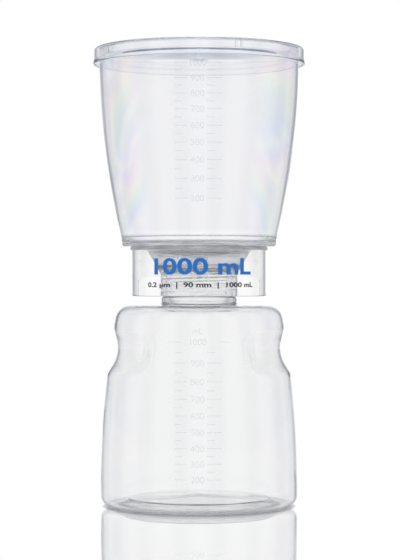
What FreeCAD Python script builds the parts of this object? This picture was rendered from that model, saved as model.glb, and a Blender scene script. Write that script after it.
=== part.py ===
import FreeCAD, Part
import math
import os
from types import SimpleNamespace

import Sketcher
from FreeCAD import Placement, Rotation, Vector

# A vacuum filtration unit: a funnel with a filter membrane under it, on a base that screws on to the
# neck of a receiver bottle. Millimetres, +Z up. The origin is the centre of the bottle's foot, on the
# surface that it stands on, the front faces -Y, and the vacuum port points to +Y.

document = FreeCAD.newDocument("vacuum_filtration_unit")

# ---------------------------------------------------------------------------------------------------
# Driving dimensions. Each is written once, in the sheet, and every piece reads it from there.
# ---------------------------------------------------------------------------------------------------

SIZES = {
    # bottle: a blown shell of even wall with a moulded neck
    "bottle_wall": 1.3,
    "bottle_radius": 60.5,
    "foot_corner": 6.5,
    "foot_ring_width": 3.5,
    "pushup_slope_width": 7.5,
    "pushup_height": 4.0,
    "pushup_dome": 2.5,
    "belly_height": 12.0,
    "shoulder_inset": 10.3,
    "shoulder_level": 123.3,
    "shoulder_corner": 10.0,
    "shoulder_rise": 0.9,
    "bead_reach": 2.7,
    "bead_height": 4.6,
    "bead_flat": 0.2,
    "neck_radius": 20.6,
    "neck_wall": 1.8,
    "neck_height": 16.2,
    # finger grips: a channel of round section along each side, with round ends
    "grip_level": 97.3,
    "grip_section_radius": 19.0,
    "grip_depth": 10.4,
    "grip_sweep": 92.0,
    "grip_edge_round": 2.5,
    # gasket between the neck and its seat
    "gasket_thickness": 2.0,
    "gasket_width": 2.9,
    "neck_clearance": 0.3,
    # filter base
    "base_wall": 1.5,
    "collar_clearance": 1.6,
    "collar_gap": 0.5,
    "cone_start_height": 4.6,
    "cone_inset": 9.4,
    "chamber_height": 8.8,
    "skirt_inset": 4.3,
    "skirt_wall": 1.6,
    "skirt_gap": 0.3,
    "skirt_cut_height": 11.8,
    "skirt_cut_inset": 2.7,
    "skirt_cut_corner": 4.0,
    "flange_overhang": 1.1,
    "flange_height": 1.9,
    "flange_groove": 0.4,
    "plate_floor": 1.8,
    "floor_fall": 1.0,
    "spout_bore_radius": 4.0,
    "spout_wall": 1.3,
    "spout_length": 18.4,
    # membrane, and the disc that carries it. The dish, skirt and funnel foot follow the membrane's size
    "membrane_radius": 45.0,
    "membrane_seat_width": 1.4,
    "membrane_thickness": 0.2,
    "membrane_clearance": 0.6,
    "support_thickness": 1.9,
    "support_clearance": 0.3,
    "support_seat_width": 3.6,
    "slot_width": 2.4,
    "slot_start_radius": 8.0,
    "slot_end_margin": 2.5,
    "slot_bow": 1.44,
    "slot_count": 20,
    "drain_groove_depth": 0.6,
    "drain_groove_width": 1.2,
    "drain_groove_pitch": 6.0,
    # funnel
    "funnel_wall": 1.6,
    "funnel_rim_radius": 61.6,
    "funnel_foot_wall": 1.5,
    "funnel_step_width": 0.8,
    "funnel_foot_round": 1.2,
    "funnel_ledge_height": 2.5,
    "funnel_height": 114.6,
    "foot_clearance": 0.1,
    # lid
    "lid_wall": 1.3,
    "lid_skirt_clearance": 1.9,
    "lid_skirt_height": 10.0,
    "lid_flare": 0.6,
    "lid_flare_height": 3.2,
    "lid_corner": 1.2,
    "lid_plug_clearance": 1.1,
    "lid_recess": 5.6,
    "lid_rib_reach": 0.8,
    "lid_rib_width": 1.0,
    "lid_rib_spacing": 3.4,
    "lid_rib_height": 4.0,
    "lid_rib_angle": 23.0,
    "lid_rib_pairs": 4,
    # vacuum port and its hose connector
    "port_bore_radius": 3.2,
    "port_wall": 1.8,
    "port_reach": 2.7,
    "connector_clearance": 0.05,
    "connector_stub_length": 10.0,
    "connector_bore_radius": 1.9,
    "connector_flange_radius": 6.2,
    "connector_flange_length": 1.6,
    "barb_root_radius": 3.2,
    "barb_crest_radius": 4.2,
    "barb_length": 4.2,
    "barb_land": 0.8,
    "barb_count": 3,
    "plug_length": 5.0,
    "plug_clearance": 0.1,
}

sheet = document.addObject("Spreadsheet::Sheet", "dims")
for row, (alias, number) in enumerate(SIZES.items(), start=1):
    sheet.set(f"A{row}", alias.replace("_", " "))
    sheet.set(f"B{row}", str(number))
    sheet.setAlias(f"B{row}", alias)
document.recompute()


class Size:
    """A length that keeps both its number and the sheet formula that gives it."""

    def __init__(self, value, formula):
        self.value = float(value)
        self.formula = formula

    def __add__(self, other):
        other = as_size(other)
        return Size(self.value + other.value, f"({self.formula} + {other.formula})")

    def __sub__(self, other):
        other = as_size(other)
        return Size(self.value - other.value, f"({self.formula} - {other.formula})")

    def __mul__(self, other):
        other = as_size(other)
        return Size(self.value * other.value, f"({self.formula} * {other.formula})")

    def __truediv__(self, other):
        other = as_size(other)
        return Size(self.value / other.value, f"({self.formula} / {other.formula})")

    def __rsub__(self, other):
        return as_size(other) - self

    def __neg__(self):
        return Size(-self.value, f"(-{self.formula})")


def as_size(number):
    """A plain number as a Size, and a Size as it is."""
    return number if isinstance(number, Size) else Size(number, repr(number))


d = SimpleNamespace(**{alias: Size(sheet.get(alias), f"dims.{alias}") for alias in SIZES})
ZERO = as_size(0)

# Levels and radii that two or more pieces share.
neck_foot_level = d.shoulder_level + d.shoulder_rise
bead_top_level = neck_foot_level + d.bead_height
neck_top_level = bead_top_level + d.neck_height
seat_level = neck_top_level + d.gasket_thickness
collar_bore_radius = d.neck_radius + d.collar_clearance
collar_radius = collar_bore_radius + d.base_wall
skirt_foot_level = bead_top_level + d.skirt_gap
chamber_floor_level = seat_level + d.base_wall
plate_level = chamber_floor_level + d.chamber_height
flange_top_level = plate_level + d.flange_height
dish_foot_level = flange_top_level + d.flange_groove
support_level = plate_level + d.plate_floor + d.floor_fall + d.floor_fall
membrane_level = support_level + d.support_thickness
clamp_level = membrane_level + d.membrane_thickness
step_level = clamp_level + d.funnel_ledge_height
rim_level = step_level + d.funnel_height
lid_top_level = rim_level + d.lid_wall
dish_radius = d.membrane_radius + d.membrane_clearance
dish_bore_radius = d.membrane_radius - d.membrane_seat_width
drain_radius = dish_bore_radius - d.support_seat_width
skirt_radius = dish_radius - d.skirt_inset
port_level = chamber_floor_level + d.chamber_height / 2
port_face = skirt_radius + d.port_reach


def bind(thing, name, size):
    """Ties one property of a feature to the sheet."""
    thing.setExpression(name, as_size(size).formula)


def new_body(label):
    body = document.addObject("PartDesign::Body", label)
    body.Label = label
    return body


def origin_plane(body, role):
    return next(item for item in body.Origin.OriginFeatures if item.Role == role)


def tangent_radius(side, top, foot_radius, foot_level):
    """Radius of the arc between two points of a side that stands upright at the first of them."""
    rise = top - foot_level
    inset = foot_radius - side
    return (rise * rise + inset * inset) / (inset * 2)


class Bulge:
    """Between two corners of an outline: the edge is an arc of this radius, not a line."""

    def __init__(self, radius, turn):
        self.radius = radius
        self.turn = turn


def arc_edge(first, last, radius, turn):
    """The short arc between two points, and whether it runs from first to last. turn is 1 or -1."""
    middle = (first + last) * 0.5
    along = last - first
    sideways = Vector(-along.y, along.x, 0).normalize() * turn
    centre = middle + sideways * math.sqrt(max(radius**2 - (along.Length / 2) ** 2, 0))
    circle = Part.Circle(centre, Vector(0, 0, 1), radius)
    start, end = (first, last) if turn > 0 else (last, first)
    angles = [math.atan2(point.y - centre.y, point.x - centre.x) for point in (start, end)]
    return Part.ArcOfCircle(circle, *angles)


def pin_corner(sketch, edge, side, across, up):
    """Fixes one corner of an outline at its two distances from the sketch's origin."""
    for kind, distance, axis in (("DistanceX", across, -2), ("DistanceY", up, -1)):
        if abs(distance.value) < 1e-9:
            sketch.addConstraint(Sketcher.Constraint("PointOnObject", edge, side, axis))
            continue
        ends = (-1, 1, edge, side) if distance.value > 0 else (edge, side, -1, 1)
        size = distance if distance.value > 0 else -distance
        index = sketch.addConstraint(Sketcher.Constraint(kind, *ends, size.value))
        sketch.setExpression(f"Constraints[{index}]", size.formula)


def draw(sketch, corners):
    """Draws a closed outline through the corners, with an arc wherever a Bulge stands between two."""
    points = [tuple(map(as_size, corner)) for corner in corners if not isinstance(corner, Bulge)]
    bulges = {}
    count = 0
    for corner in corners:
        if isinstance(corner, Bulge):
            bulges[count - 1] = corner
        else:
            count += 1
    first_edge = sketch.GeometryCount
    heads = []
    tails = []
    for index, (across, up) in enumerate(points):
        after = points[(index + 1) % count]
        start = Vector(across.value, up.value, 0)
        end = Vector(after[0].value, after[1].value, 0)
        bulge = bulges.get(index)
        if bulge is None:
            edge = sketch.addGeometry(Part.LineSegment(start, end))
            head, tail = 1, 2
        else:
            edge = sketch.addGeometry(arc_edge(start, end, bulge.radius.value, bulge.turn))
            head, tail = (1, 2) if bulge.turn > 0 else (2, 1)
        heads.append(head)
        tails.append(tail)
    for index in range(count):
        after = (index + 1) % count
        ends = (first_edge + index, tails[index], first_edge + after, heads[after])
        sketch.addConstraint(Sketcher.Constraint("Coincident", *ends))
    for index, (across, up) in enumerate(points):
        pin_corner(sketch, first_edge + index, heads[index], across, up)
    for index, bulge in bulges.items():
        edge = first_edge + index
        number = sketch.addConstraint(Sketcher.Constraint("Radius", edge, bulge.radius.value))
        sketch.setExpression(f"Constraints[{number}]", bulge.radius.formula)


def new_sketch(body, name, role, *outlines, lift=None, turn=None):
    """A sketch on one of the body's own planes, raised by lift and turned about the plane's normal."""
    sketch = body.newObject("Sketcher::SketchObject", name)
    sketch.AttachmentSupport = (origin_plane(body, role), [""])
    sketch.MapMode = "FlatFace"
    if lift is not None:
        angle = 0 if turn is None else turn.value
        sketch.AttachmentOffset = Placement(Vector(0, 0, lift.value), Rotation(Vector(0, 0, 1), angle))
        bind(sketch, "AttachmentOffset.Base.z", lift)
    if turn is not None:
        bind(sketch, "AttachmentOffset.Rotation.Angle", turn)
    for outline in outlines:
        draw(sketch, outline)
    return sketch


def revolve(body, name, outline, kind="Revolution"):
    """Turns a half section, drawn in the XZ plane, about the body's Z axis."""
    sketch = new_sketch(body, name + "_section", "XZ_Plane", outline)
    feature = body.newObject("PartDesign::" + kind, name)
    feature.Profile = sketch
    feature.ReferenceAxis = (sketch, ["V_Axis"])
    feature.Angle = 360
    document.recompute()
    return feature


def fillet(body, name, radius, names):
    """Rounds these edges of a body."""
    feature = body.newObject("PartDesign::Fillet", name)
    feature.Base = (feature.BaseFeature, names)
    bind(feature, "Radius", radius)
    document.recompute()


def round_edges(body, name, size, *circles):
    """Rounds the circular edges that have these radii at these levels."""
    names = []
    for number, edge in enumerate(body.Tip.Shape.Edges, start=1):
        curve = edge.Curve
        if not isinstance(curve, Part.Circle):
            continue
        for radius, level in circles:
            if abs(curve.Radius - radius.value) < 0.01 and abs(curve.Center.z - level.value) < 0.01:
                names.append(f"Edge{number}")
    fillet(body, name, size, names)


def ring(inner, outer, low, high):
    """Corners of a plain ring's half section."""
    return [(inner, low), (outer, low), (outer, high), (inner, high)]


# ---------------------------------------------------------------------------------------------------
# Bottle: the outside shell less the inside one. Both have the same grips, a wall apart.
# ---------------------------------------------------------------------------------------------------

shoulder_radius = d.bottle_radius - d.shoulder_inset
bead_radius = d.neck_radius + d.bead_reach
bead_round = (d.bead_height - d.bead_flat) / 2
neck_bore_radius = d.neck_radius - d.neck_wall
foot_inner_radius = d.bottle_radius - d.foot_corner - d.foot_ring_width
pushup_radius = foot_inner_radius - d.pushup_slope_width
grip_ring_radius = d.bottle_radius - d.grip_depth + d.grip_section_radius


def grip_piece(body, kind, name):
    piece = body.newObject("PartDesign::Subtractive" + kind, name)
    piece.AttachmentSupport = (origin_plane(body, "XY_Plane"), [""])
    piece.MapMode = "FlatFace"
    bind(piece, "AttachmentOffset.Base.z", d.grip_level)
    return piece


def cut_grips(body, section_radius):
    """Presses a finger grip into each side of a shell: a ring segment with a ball at each end."""
    for side, facing in (("right", 0), ("left", 180)):
        channel = grip_piece(body, "Torus", f"{body.Label}_{side}_grip")
        channel.AttachmentOffset = Placement(Vector(), Rotation(Vector(0, 0, 1), facing))
        bind(channel, "Radius1", grip_ring_radius)
        bind(channel, "Radius2", section_radius)
        bind(channel, "Angle3", d.grip_sweep)
        bind(channel, "AttachmentOffset.Base.z", d.grip_level)
        bind(channel, "AttachmentOffset.Rotation.Angle", facing - d.grip_sweep / 2)
        document.recompute()
        for end in (-1, 1):
            ball = grip_piece(body, "Sphere", f"{body.Label}_{side}_grip_end")
            bind(ball, "Radius", section_radius)
            turn = f"({facing} + {end} * {d.grip_sweep.formula} / 2)"
            ball.setExpression("AttachmentOffset.Base.x", f"{grip_ring_radius.formula} * cos({turn})")
            ball.setExpression("AttachmentOffset.Base.y", f"{grip_ring_radius.formula} * sin({turn})")
            document.recompute()


def soften_grips(body, section_radius):
    """Rounds the rim of both grips."""
    shape = body.Tip.Shape
    pressed = []
    plain = []
    for face in shape.Faces:
        surface = face.Surface
        radius = getattr(surface, "MinorRadius", getattr(surface, "Radius", 0))
        rounded = isinstance(surface, (Part.Toroid, Part.Sphere))
        is_grip = rounded and abs(radius - section_radius.value) < 0.01
        (pressed if is_grip else plain).append(face)
    names = []
    for number, edge in enumerate(shape.Edges, start=1):
        on_grip = any(edge.isSame(other) for face in pressed for other in face.Edges)
        on_side = any(edge.isSame(other) for face in plain for other in face.Edges)
        if on_grip and on_side:
            names.append(f"Edge{number}")
    fillet(body, body.Label + "_grip_round", d.grip_edge_round, names)


def bottle_shell(label, wall):
    """One skin of the bottle, as a solid: the outside at wall 0, the inside at the wall's thickness."""
    body = new_body(label)
    radius = d.bottle_radius - wall
    top_radius = shoulder_radius - wall
    top_level = d.shoulder_level - wall
    side_radius = tangent_radius(top_radius, top_level, radius, d.belly_height)
    corners = [
        (ZERO, d.pushup_height + d.pushup_dome + wall),
        (pushup_radius, d.pushup_height + wall),
        (foot_inner_radius, wall),
        (radius, wall),
        (radius, d.belly_height),
        Bulge(side_radius, 1),
        (top_radius, top_level),
    ]
    if wall is ZERO:
        corners += [
            (bead_radius, neck_foot_level),
            (bead_radius, bead_top_level),
            (d.neck_radius, bead_top_level),
            (d.neck_radius, neck_top_level),
            (ZERO, neck_top_level),
        ]
    else:
        corners += [
            (neck_bore_radius, neck_foot_level - wall),
            (neck_bore_radius, neck_top_level + wall),
            (ZERO, neck_top_level + wall),
        ]
    revolve(body, label + "_turned", corners)
    round_edges(body, label + "_foot_round", d.foot_corner - wall, (radius, wall))
    shoulder_edge = (top_radius, top_level)
    round_edges(body, label + "_shoulder_round", d.shoulder_corner - wall, shoulder_edge)
    if wall is ZERO:
        bead_edges = [(bead_radius, neck_foot_level), (bead_radius, bead_top_level)]
        round_edges(body, "bead_round", bead_round, *bead_edges)
    cut_grips(body, d.grip_section_radius + wall)
    soften_grips(body, d.grip_section_radius + wall)
    return body


outside = bottle_shell("bottle_outside", ZERO)
inside = bottle_shell("bottle_inside", d.bottle_wall)
bottle = document.addObject("Part::Cut", "bottle")
bottle.Base = outside
bottle.Tool = inside
bottle.Label = "bottle"
document.recompute()


def slot_outline(start, end, width):
    """Corners of a slot with bowed ends, along +X."""
    half = width / 2
    bow = Bulge(d.slot_bow, 1)
    return [(start, -half), (end, -half), bow, (end, half), (start, half), bow]


def box_outline(left, right, low, high):
    return [(left, low), (right, low), (right, high), (left, high)]


def extrude(body, kind, sketch, name, length):
    """A Pad, or a Pocket that has to take material away."""
    before = body.Shape.Volume if body.Tip else 0
    feature = body.newObject("PartDesign::" + kind, name)
    feature.Profile = sketch
    bind(feature, "Length", length)
    document.recompute()
    if kind == "Pocket" and body.Shape.Volume > before - 1e-3:
        raise RuntimeError(f"{name} cuts nothing")
    return feature


def repeat_round(body, feature, name, count):
    """Repeats a feature evenly round the body's Z axis."""
    pattern = body.newObject("PartDesign::PolarPattern", name)
    pattern.Originals = [feature]
    pattern.Axis = (origin_plane(body, "Z_Axis"), [""])
    pattern.Angle = 360
    bind(pattern, "Occurrences", count)
    body.Tip = pattern
    document.recompute()
    return pattern


# ---------------------------------------------------------------------------------------------------
# Neck gasket: a flat ring on the neck's lip, under the seat of the filter base.
# ---------------------------------------------------------------------------------------------------

gasket = new_body("neck_gasket")
gasket_radius = collar_bore_radius - d.neck_clearance
revolve(
    gasket, "gasket_turned", ring(gasket_radius - d.gasket_width, gasket_radius, neck_top_level, seat_level)
)

# ---------------------------------------------------------------------------------------------------
# Filter base: one moulding. The skirt comes first, because its lower back is cut away before the
# collar stands inside it. The core then adds the flange, dish, cone, collar and drip spout.
# ---------------------------------------------------------------------------------------------------

base = new_body("filter_base")
skirt_bore = skirt_radius - d.skirt_wall
revolve(base, "skirt_turned", ring(skirt_bore, skirt_radius, skirt_foot_level, flange_top_level))

cut_top_level = skirt_foot_level + d.skirt_cut_height
cut_side = skirt_radius - d.skirt_cut_inset
cut_inside = cut_side - d.skirt_cut_corner
cut_shoulder = cut_top_level - d.skirt_cut_corner
cut_foot = skirt_foot_level - d.skirt_wall
back_cut = new_sketch(
    base,
    "skirt_back_cut_outline",
    "XZ_Plane",
    [
        (-cut_side, cut_foot),
        (cut_side, cut_foot),
        (cut_side, cut_shoulder),
        Bulge(d.skirt_cut_corner, 1),
        (cut_inside, cut_top_level),
        (-cut_inside, cut_top_level),
        Bulge(d.skirt_cut_corner, 1),
        (-cut_side, cut_shoulder),
    ],
)
extrude(base, "Pocket", back_cut, "skirt_back_cut", skirt_radius + d.skirt_wall)

cone_foot_level = seat_level - d.cone_start_height
cone_top_radius = skirt_radius - d.cone_inset
cone_slope = (cone_top_radius - collar_radius) / (plate_level - cone_foot_level)
chamber_foot_radius = collar_radius + cone_slope * (chamber_floor_level - cone_foot_level) - d.base_wall
chamber_top_radius = cone_top_radius - d.base_wall
seat_bore_radius = gasket_radius - d.gasket_width
spout_radius = d.spout_bore_radius + d.spout_wall
spout_foot_level = plate_level - d.spout_length
flange_radius = skirt_radius + d.flange_overhang
groove_radius = flange_radius - d.flange_groove
floor_top_level = support_level - d.floor_fall
floor_centre_level = floor_top_level - d.floor_fall
revolve(
    base,
    "core_turned",
    [
        (d.spout_bore_radius, spout_foot_level),
        (spout_radius, spout_foot_level),
        (spout_radius, plate_level),
        (chamber_top_radius, plate_level),
        (chamber_foot_radius, chamber_floor_level),
        (seat_bore_radius, chamber_floor_level),
        (seat_bore_radius, seat_level),
        (collar_bore_radius, seat_level),
        (collar_bore_radius, skirt_foot_level + d.collar_gap),
        (collar_radius, skirt_foot_level + d.collar_gap),
        (collar_radius, cone_foot_level),
        (cone_top_radius, plate_level),
        (flange_radius, plate_level),
        (flange_radius, flange_top_level),
        (groove_radius, flange_top_level),
        (groove_radius, dish_foot_level),
        (dish_radius, dish_foot_level),
        (dish_radius, membrane_level),
        (dish_bore_radius, membrane_level),
        (dish_bore_radius, support_level),
        (drain_radius, support_level),
        (drain_radius, floor_top_level),
        (d.spout_bore_radius, floor_centre_level),
    ],
)
round_edges(base, "spout_foot_round", d.spout_wall / 3, (spout_radius, spout_foot_level))

port_root = chamber_foot_radius
port_radius = d.port_bore_radius + d.port_wall


def port_tube(name, kind, radius, start, end):
    """A rod along +Y at the level of the vacuum port, added or taken away."""
    rod = base.newObject(f"PartDesign::{kind}Cylinder", name)
    rod.AttachmentSupport = (origin_plane(base, "XY_Plane"), [""])
    rod.MapMode = "FlatFace"
    rod.AttachmentOffset = Placement(Vector(), Rotation(Vector(1, 0, 0), -90))
    bind(rod, "Radius", radius)
    bind(rod, "Height", end - start)
    bind(rod, "AttachmentOffset.Base.y", start)
    bind(rod, "AttachmentOffset.Base.z", port_level)
    document.recompute()


port_tube("port_wall_rod", "Additive", port_radius, port_root + d.base_wall, port_face)
bore_ends = (port_root - d.base_wall, port_face + d.base_wall)
port_tube("port_bore_rod", "Subtractive", d.port_bore_radius, *bore_ends)

# ---------------------------------------------------------------------------------------------------
# Membrane support: a disc with radial slots and drainage grooves, which carries the membrane.
# ---------------------------------------------------------------------------------------------------

support = new_body("membrane_support")
support_radius = dish_bore_radius - d.support_clearance
slot_end_radius = drain_radius - d.slot_end_margin
revolve(support, "support_turned", ring(ZERO, support_radius, support_level, membrane_level))
slot = new_sketch(
    support,
    "slot_outline",
    "XY_Plane",
    slot_outline(d.slot_start_radius, slot_end_radius, d.slot_width),
    lift=membrane_level,
)
slots = extrude(support, "Pocket", slot, "slot", d.support_thickness)
repeat_round(support, slots, "slots", d.slot_count)

groove_foot = membrane_level - d.drain_groove_depth
groove_sections = []
groove_radius_now = d.slot_start_radius + d.drain_groove_pitch / 2
while (groove_radius_now + d.drain_groove_width).value < slot_end_radius.value:
    groove_sections.append(
        ring(groove_radius_now, groove_radius_now + d.drain_groove_width, groove_foot, membrane_level)
    )
    groove_radius_now = groove_radius_now + d.drain_groove_pitch
grooves_sketch = new_sketch(support, "drain_grooves_section", "XZ_Plane", *groove_sections)
grooves = support.newObject("PartDesign::Groove", "drain_grooves")
grooves.Profile = grooves_sketch
grooves.ReferenceAxis = (grooves_sketch, ["V_Axis"])
grooves.Angle = 360
document.recompute()

# ---------------------------------------------------------------------------------------------------
# Membrane: a thin disc, clamped at its edge between the dish's rim and the funnel's ledge.
# ---------------------------------------------------------------------------------------------------

membrane = new_body("membrane")
revolve(membrane, "membrane_turned", ring(ZERO, d.membrane_radius, membrane_level, clamp_level))

# ---------------------------------------------------------------------------------------------------
# Funnel: a cup whose side stands upright at the rim and leans in more and more towards the foot.
# ---------------------------------------------------------------------------------------------------

funnel = new_body("funnel")
funnel_bore_radius = dish_radius + d.foot_clearance
funnel_foot_radius = funnel_bore_radius + d.funnel_foot_wall
funnel_step_radius = funnel_foot_radius + d.funnel_step_width
funnel_outer_arc = tangent_radius(funnel_step_radius, rim_level, d.funnel_rim_radius, step_level)
funnel_step_bore = funnel_step_radius - d.funnel_wall
ledge_radius = dish_bore_radius - d.support_clearance
revolve(
    funnel,
    "funnel_turned",
    [
        (funnel_bore_radius, dish_foot_level),
        (funnel_foot_radius, dish_foot_level),
        (funnel_step_radius, step_level),
        Bulge(funnel_outer_arc, 1),
        (d.funnel_rim_radius, rim_level),
        (d.funnel_rim_radius - d.funnel_wall, rim_level),
        Bulge(funnel_outer_arc - d.funnel_wall, -1),
        (funnel_step_bore, step_level),
        (ledge_radius, step_level),
        (ledge_radius, clamp_level),
        (funnel_bore_radius, clamp_level),
    ],
)
foot_edge = (funnel_foot_radius, dish_foot_level)
round_edges(funnel, "funnel_foot_edge", d.funnel_foot_round, foot_edge)

# ---------------------------------------------------------------------------------------------------
# Lid: a dished disc. Its rim is an upturned channel that sits on the funnel's rim, and short ribs on
# the plug keep it centred in the funnel's mouth.
# ---------------------------------------------------------------------------------------------------

lid = new_body("lid")
lid_bore_radius = d.funnel_rim_radius + d.lid_skirt_clearance
lid_radius = lid_bore_radius + d.lid_wall
lid_foot_level = lid_top_level - d.lid_skirt_height
plug_radius = d.funnel_rim_radius - d.funnel_wall - d.lid_plug_clearance
recess_radius = plug_radius - d.lid_wall
recess_level = lid_top_level - d.lid_recess
plug_foot_level = recess_level - d.lid_wall
flare_level = lid_foot_level + d.lid_flare_height
revolve(
    lid,
    "lid_turned",
    [
        (ZERO, plug_foot_level),
        (plug_radius, plug_foot_level),
        (plug_radius, rim_level),
        (lid_bore_radius, rim_level),
        (lid_bore_radius, flare_level),
        (lid_bore_radius + d.lid_flare, lid_foot_level),
        (lid_radius + d.lid_flare, lid_foot_level),
        (lid_radius, flare_level),
        (lid_radius, lid_top_level),
        (recess_radius, lid_top_level),
        (recess_radius, recess_level),
        (ZERO, recess_level),
    ],
)
round_edges(lid, "lid_top_round", d.lid_corner, (lid_radius, lid_top_level))
round_edges(lid, "lid_plug_round", d.lid_wall / 2, (plug_radius, plug_foot_level))
rib_start = plug_radius - d.lid_wall / 2
rib_end = plug_radius + d.lid_rib_reach
rib_near = d.lid_rib_spacing / 2 - d.lid_rib_width / 2
rib_far = d.lid_rib_spacing / 2 + d.lid_rib_width / 2
ribs_sketch = new_sketch(
    lid,
    "lid_ribs_outline",
    "XY_Plane",
    box_outline(rib_start, rib_end, rib_near, rib_far),
    box_outline(rib_start, rib_end, -rib_far, -rib_near),
    lift=rim_level - d.lid_rib_height,
    turn=d.lid_rib_angle,
)
rib_pair = extrude(lid, "Pad", ribs_sketch, "lid_ribs", d.lid_rib_height)
repeat_round(lid, rib_pair, "lid_rib_pairs", d.lid_rib_pairs)

# ---------------------------------------------------------------------------------------------------
# Hose connector and cotton plug. Both are turned about their own axis and laid along +Y in the port.
# ---------------------------------------------------------------------------------------------------


def lay_in_port(body, distance):
    """Lays a piece that was made along its own +Z into the port, with its origin this far along +Y."""
    body.Placement = Placement(Vector(0, distance.value, port_level.value), Rotation(Vector(1, 0, 0), -90))
    bind(body, "Placement.Base.y", distance)
    bind(body, "Placement.Base.z", port_level)


connector = new_body("hose_connector")
stub_radius = d.port_bore_radius - d.connector_clearance
connector_section = [
    (d.connector_bore_radius, -d.connector_stub_length),
    (stub_radius, -d.connector_stub_length),
    (stub_radius, ZERO),
    (d.connector_flange_radius, ZERO),
    (d.connector_flange_radius, d.connector_flange_length),
    (d.barb_root_radius, d.connector_flange_length),
]
barb_foot = d.connector_flange_length
for number in range(int(d.barb_count.value)):
    barb_foot = barb_foot + d.barb_land
    barb_end = d.connector_flange_length + d.barb_length * (number + 1)
    connector_section += [(d.barb_root_radius, barb_foot), (d.barb_crest_radius, barb_foot)]
    connector_section += [(d.barb_root_radius, barb_end)]
    barb_foot = barb_end
connector_section += [(d.connector_bore_radius, barb_end)]
revolve(connector, "connector_turned", connector_section)
lay_in_port(connector, port_face)

port_plug = new_body("port_plug")
plug_outer = d.port_bore_radius - d.plug_clearance
revolve(port_plug, "plug_turned", ring(ZERO, plug_outer, -d.plug_length, ZERO))
lay_in_port(port_plug, port_face - d.connector_stub_length)

# ---------------------------------------------------------------------------------------------------
# Checks, then one STEP file for each piece.
# ---------------------------------------------------------------------------------------------------

document.recompute()
failed = [item.Name for item in document.Objects if {"Invalid", "Error"} & set(item.State)]
if failed:
    raise RuntimeError("failed features: " + ", ".join(failed))
pieces = [bottle, gasket, base, support, membrane, funnel, lid, connector, port_plug]
os.makedirs("parts", exist_ok=True)
for piece in pieces:
    shape = piece.Shape
    if shape.isNull() or not shape.isValid() or len(shape.Solids) != 1:
        raise RuntimeError(f"{piece.Label} is not one valid solid")
    shape.exportStep(f"parts/{piece.Label}.step")
    print(f"{piece.Label}: {shape.Volume / 1000:.2f} cm3, {len(shape.Faces)} faces")
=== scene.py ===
import math

import bmesh
import bpy
from mathutils import Matrix, Vector


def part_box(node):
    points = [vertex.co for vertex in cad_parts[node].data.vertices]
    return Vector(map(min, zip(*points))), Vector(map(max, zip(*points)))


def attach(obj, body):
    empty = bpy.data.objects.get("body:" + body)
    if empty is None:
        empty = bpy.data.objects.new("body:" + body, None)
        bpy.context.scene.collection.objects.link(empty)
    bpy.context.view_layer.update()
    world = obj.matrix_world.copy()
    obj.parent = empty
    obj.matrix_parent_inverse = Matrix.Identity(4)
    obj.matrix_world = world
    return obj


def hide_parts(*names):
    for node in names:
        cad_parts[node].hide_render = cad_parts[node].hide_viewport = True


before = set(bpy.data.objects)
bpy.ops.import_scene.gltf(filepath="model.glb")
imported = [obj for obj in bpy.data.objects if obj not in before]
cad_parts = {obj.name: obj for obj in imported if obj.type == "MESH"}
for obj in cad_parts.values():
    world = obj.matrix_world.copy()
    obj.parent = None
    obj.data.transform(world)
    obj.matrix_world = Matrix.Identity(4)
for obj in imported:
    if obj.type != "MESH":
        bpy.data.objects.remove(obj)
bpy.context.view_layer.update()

# ---------------------------------------------------------------------------------------------------
# Camera, daylight and floor. A level view from the front with a long lens, against plain white.
# Clear plastic only shows by what it bends and mirrors, so grey stripes stand round it, like the dark
# cards round glass in a studio. Only its mirrored and bent light meets them.
# ---------------------------------------------------------------------------------------------------


def connect(tree, node, inputs):
    """Fills a node's sockets, from a list in their order or from a dict by name or number. A value is
    the number to hold, or the output that feeds it. A node there stands for its first output."""
    for socket, value in inputs.items() if isinstance(inputs, dict) else enumerate(inputs):
        if isinstance(value, bpy.types.Node):
            value = value.outputs[0]
        if isinstance(value, bpy.types.NodeSocket):
            tree.links.new(value, node.inputs[socket])
        else:
            node.inputs[socket].default_value = value


def add_node(tree, kind, inputs=(), **settings):
    """Adds a node with its settings and links. A geometry node's kind is given in full. In a MapRange
    list, the value comes first, then the ends of its range and what they turn into."""
    added = tree.nodes.new(kind if kind.startswith("Geometry") else "ShaderNode" + kind)
    for name, value in settings.items():
        setattr(added, name, value)
    connect(tree, added, inputs)
    return added


scene = bpy.context.scene
scene.view_settings.view_transform = "Standard"
# A look through this object crosses a dozen clear walls, so light may pass and mirror many times.
scene.cycles.max_bounces = 96
scene.cycles.transmission_bounces = 96
scene.cycles.glossy_bounces = 96
scene.cycles.diffuse_bounces = 16

camera_aside, camera_distance, camera_height = 0.0006, 1.234, 0.139
camera = bpy.data.objects.new("camera", bpy.data.cameras.new("camera"))
camera.location = (camera_aside, -camera_distance, camera_height)
camera.rotation_euler = (math.pi / 2, 0, 0)
camera.data.lens = 128.57
scene.collection.objects.link(camera)
scene.camera = camera

white, card_grey = (1, 1, 1, 1), (0.18, 0.205, 0.255, 1)
sky = bpy.data.worlds.new("studio")
sky.use_nodes = True
tree = sky.node_tree
tree.nodes.clear()
direction = add_node(tree, "TexCoord").outputs["Generated"]
right, back, up = add_node(tree, "SeparateXYZ", [direction]).outputs
path = add_node(tree, "LightPath").outputs
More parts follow.
